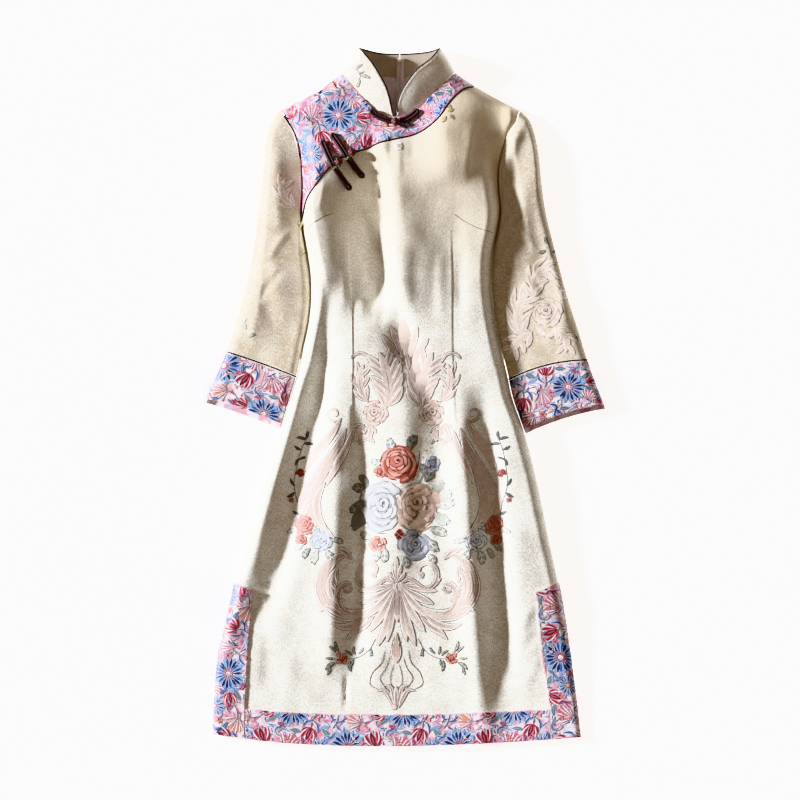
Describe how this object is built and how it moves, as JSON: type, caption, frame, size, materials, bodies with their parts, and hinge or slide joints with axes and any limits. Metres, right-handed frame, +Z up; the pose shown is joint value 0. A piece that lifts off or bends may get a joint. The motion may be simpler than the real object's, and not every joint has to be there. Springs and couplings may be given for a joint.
{
  "type": "cheongsam dress",
  "caption": "Knee-length ivory cheongsam laid flat, with a stand collar, piped asymmetric yoke, corded frogs, three-quarter sleeves and floral cuffs, side bands and hem.",
  "frame": {"origin": "middle of the dress's underside, on the surface it lies on", "axes": "+Z up out of the surface, +Y from the hem towards the collar, +X to the right as the dress is seen from the front; left and right in the node names are as seen from the front too"},
  "size_m": [0.5714, 1.0029, 0.0448],
  "materials": {
    "jacquard": "matt ivory jacquard with a woven ornament",
    "floral_brocade": "matt white ground with a small floral repeat",
    "dark_cord": "dark maroon satin cord",
    "collar_satin": "satin",
    "lining": "matt lining",
    "zip_tape": "woven tape",
    "zip_metal": "off-white lacquer"
  },
  "bodies": {
    "root": {"front_panel": "jacquard", "back_left": "jacquard", "back_right": "jacquard", "sleeve_left": "jacquard", "sleeve_right": "jacquard", "collar_left": "jacquard", "collar_right": "jacquard", "yoke": "floral_brocade", "side_band_left": "floral_brocade", "side_band_right": "floral_brocade", "hem_band_front": "floral_brocade", "hem_band_back": "floral_brocade", "cuff_left": "floral_brocade", "cuff_right": "floral_brocade", "yoke_piping": "dark_cord", "armhole_piping_left": "dark_cord", "collar_piping_left": "dark_cord", "collar_piping_right": "dark_cord", "cuff_piping_left": "dark_cord", "cuff_piping_right": "dark_cord", "frog_a_upper": "dark_cord", "frog_a_lower": "dark_cord", "frog_a_knot": "dark_cord", "frog_b_upper": "dark_cord", "frog_b_lower": "dark_cord", "frog_b_knot": "dark_cord", "frog_neck_left": "dark_cord", "frog_neck_right": "dark_cord", "frog_neck_knot": "dark_cord", "collar_facing_left": "collar_satin", "collar_facing_right": "collar_satin", "lining_back_neck": "lining", "zip_tape": "zip_tape", "zip_slider": "zip_metal"}
  },
  "joints": []
}
